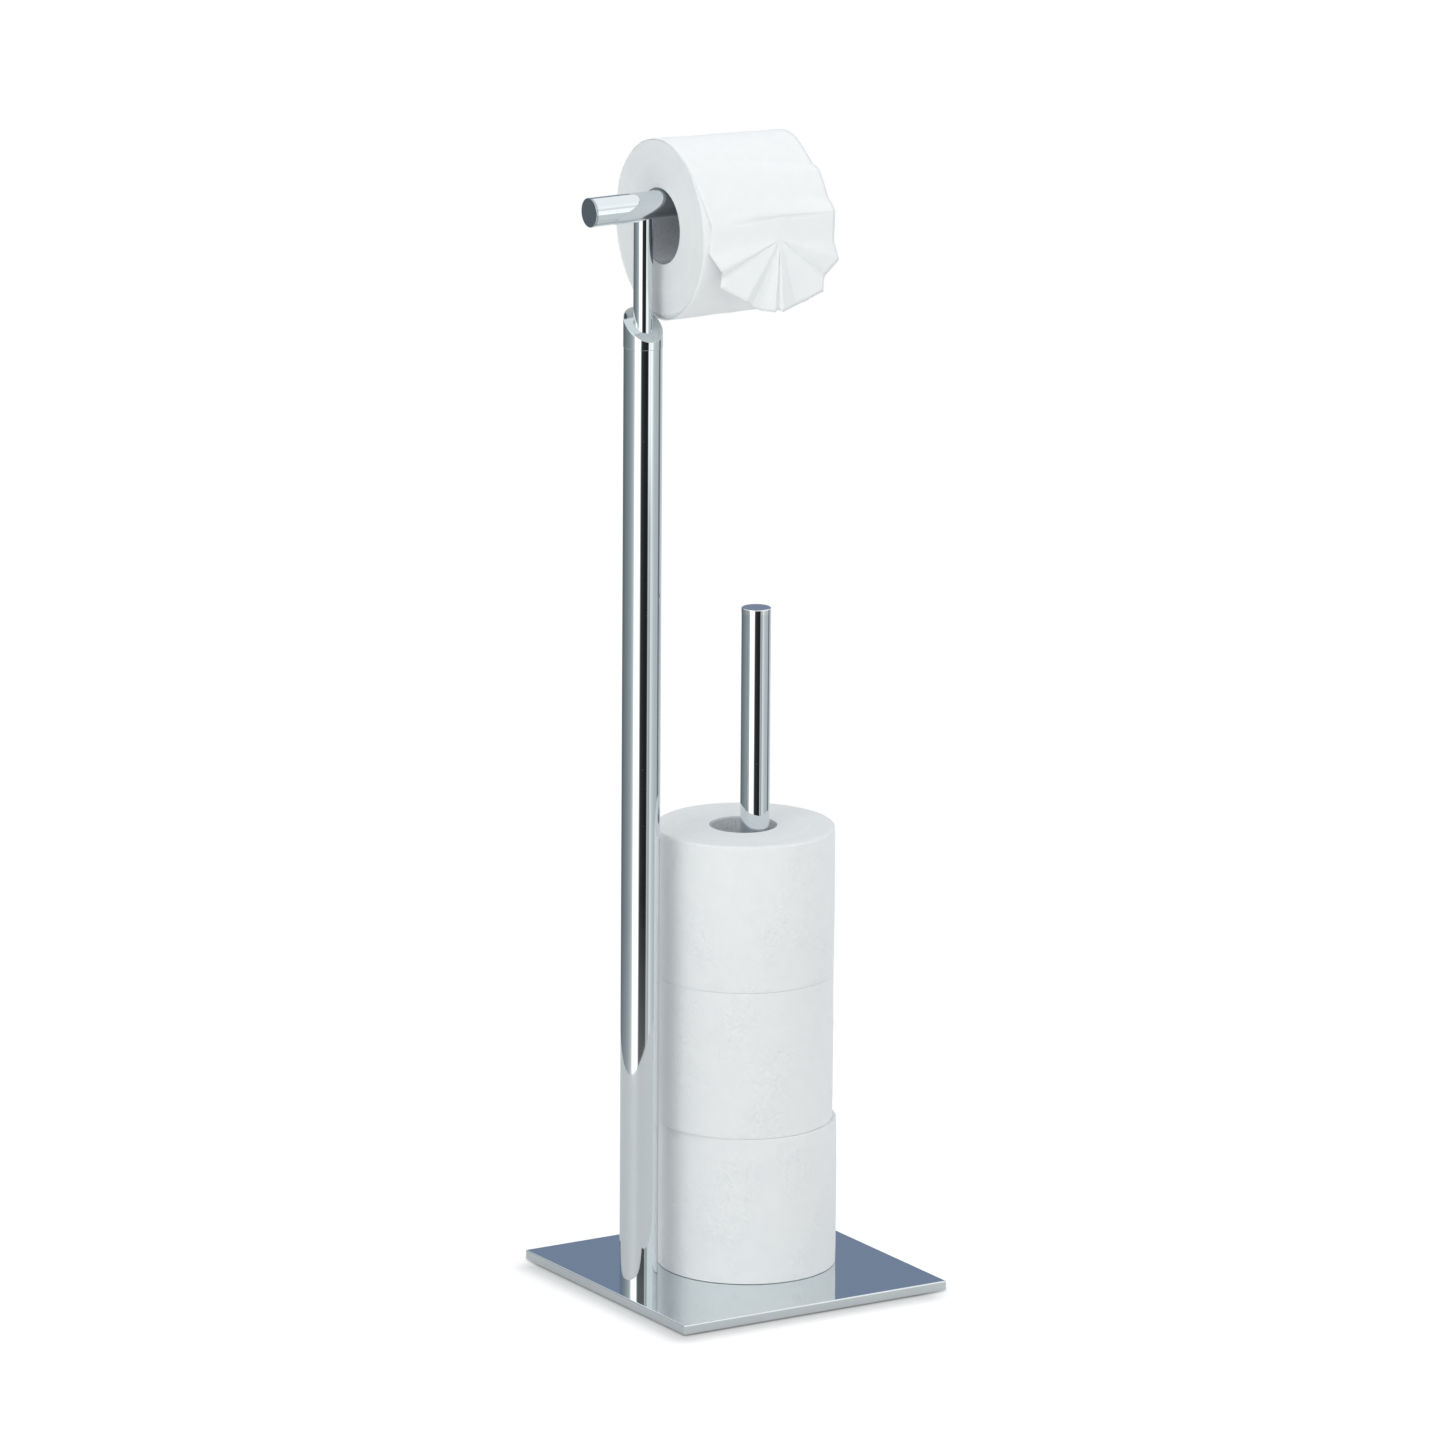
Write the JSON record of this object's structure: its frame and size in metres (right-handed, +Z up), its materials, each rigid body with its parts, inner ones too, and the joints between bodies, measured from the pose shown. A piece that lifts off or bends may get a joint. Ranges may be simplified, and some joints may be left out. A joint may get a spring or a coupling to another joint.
{
  "type": "toilet roll stand",
  "caption": "Free-standing chromed toilet roll stand: square base plate, tall tube with a T-shaped arm holding a roll with a fan-folded end, and a short post with stacked spare rolls.",
  "frame": {"origin": "on the floor, under the middle of the square base plate, at the anti-slip pad's underside", "axes": "+Z up along the tall tube; +X from the tall tube towards the spare roll post, the way the bar points; -Y is the front, where the paper's free end hangs"},
  "size_m": [0.2147, 0.2, 0.7632],
  "materials": {
    "chrome": "polished",
    "zinc_steel": "satin",
    "spring_steel": "satin",
    "black_rubber": "matte",
    "white_nylon": "matte",
    "tissue": "matte",
    "grey_card": "matte"
  },
  "bodies": {
    "stand": {"base_plate": "chrome", "base_pad": "black_rubber", "stand_tube": "chrome", "stand_foot_insert": "zinc_steel", "stand_screw": "zinc_steel", "collar": "chrome", "guide_bush": "white_nylon", "post_tube": "chrome", "post_foot_insert": "zinc_steel", "post_screw": "zinc_steel", "post_cap": "chrome"},
    "arm": {"arm_rod": "chrome", "rod_top_plug": "zinc_steel", "arm_stud": "zinc_steel", "bar_nut": "zinc_steel", "arm_bar": "chrome", "bar_end_cap_near": "chrome", "bar_end_cap_far": "chrome", "rod_bottom_plug": "zinc_steel", "swivel_spring_washer": "spring_steel", "swivel_washer": "zinc_steel", "swivel_screw": "zinc_steel"},
    "paper_roll": {"roll_paper": "tissue", "roll_core": "grey_card", "paper_tail": "tissue"},
    "spare_bottom": {"spare_bottom_paper": "tissue", "spare_bottom_core": "grey_card"},
    "spare_middle": {"spare_middle_paper": "tissue", "spare_middle_core": "grey_card"},
    "spare_top": {"spare_top_paper": "tissue", "spare_top_core": "grey_card"}
  },
  "joints": [
    {"name": "arm_swivel", "type": "hinge", "parent": "stand", "child": "arm", "pos_m": [-0.074, 0, 0.6], "axis": [0, 0, 1], "range_deg": [-90, 90]},
    {"name": "paper_roll_spin", "type": "hinge", "parent": "arm", "child": "paper_roll", "pos_m": [-0.0125, 0, 0.7065], "axis": [1, 0, 0], "continuous": true},
    {"name": "spare_bottom_lift", "type": "slide", "parent": "stand", "child": "spare_bottom", "axis": [0, 0, 1], "range_m": [0, 0.03]},
    {"name": "spare_middle_lift", "type": "slide", "parent": "spare_bottom", "child": "spare_middle", "axis": [0, 0, 1], "range_m": [0, 0.03]},
    {"name": "spare_top_lift", "type": "slide", "parent": "spare_middle", "child": "spare_top", "axis": [0, 0, 1], "range_m": [0, 0.25]}
  ]
}
